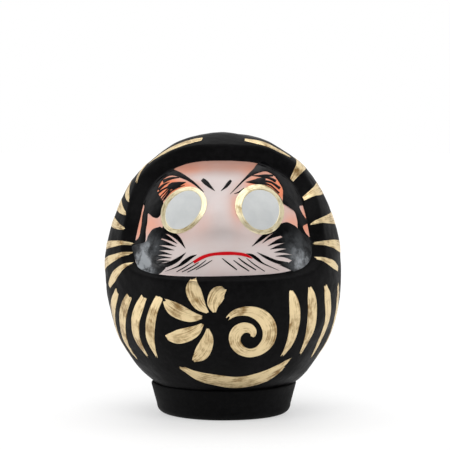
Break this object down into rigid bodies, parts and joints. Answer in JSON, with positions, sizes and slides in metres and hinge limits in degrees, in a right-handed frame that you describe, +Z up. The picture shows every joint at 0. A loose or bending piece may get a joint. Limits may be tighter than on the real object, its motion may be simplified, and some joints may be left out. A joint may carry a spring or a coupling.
{
  "type": "daruma doll",
  "caption": "Egg-shaped papier-mache doll with a recessed painted face, gold brush strokes on black, and a weighted clay foot.",
  "frame": {"origin": "middle of the foot's underside, on the surface the doll stands on", "axes": "+Z up through the crown, -Y the way the face looks, +X to the viewer's right"},
  "size_m": [0.1058, 0.1067, 0.1252],
  "materials": {
    "black_paper": "papier-mache under satin black paint",
    "black_clay": "fired clay under matte black paint",
    "strip_paper": "bare pasted paper",
    "skin_paint": "matte pale paint with airbrushed salmon shading",
    "eye_paint": "matte off-white paint",
    "gold_paint": "metallic gold paint with brush streaks",
    "black_lacquer": "thick glossy black lacquer",
    "red_lacquer": "glossy red lacquer"
  },
  "bodies": {
    "root": {"front_shell": "black_paper", "back_shell": "black_paper", "seam_strip": "strip_paper", "clay_foot": "black_clay", "face_ground": "skin_paint", "eye_white_left": "eye_paint", "eye_white_right": "eye_paint", "eye_rim_left": "gold_paint", "eye_rim_right": "gold_paint", "eyebrow_left": "black_lacquer", "eyebrow_right": "black_lacquer", "brow_hairs_left": "black_lacquer", "brow_hairs_right": "black_lacquer", "beard_left": "black_lacquer", "beard_right": "black_lacquer", "chin_whiskers_left": "black_lacquer", "chin_whiskers_right": "black_lacquer", "frown_marks": "black_lacquer", "mouth_line": "red_lacquer", "crown_strokes": "gold_paint", "hood_strokes_left": "gold_paint", "hood_strokes_right": "gold_paint", "belly_strokes_left": "gold_paint", "belly_strokes_right": "gold_paint", "belly_ornament": "gold_paint"}
  },
  "joints": []
}
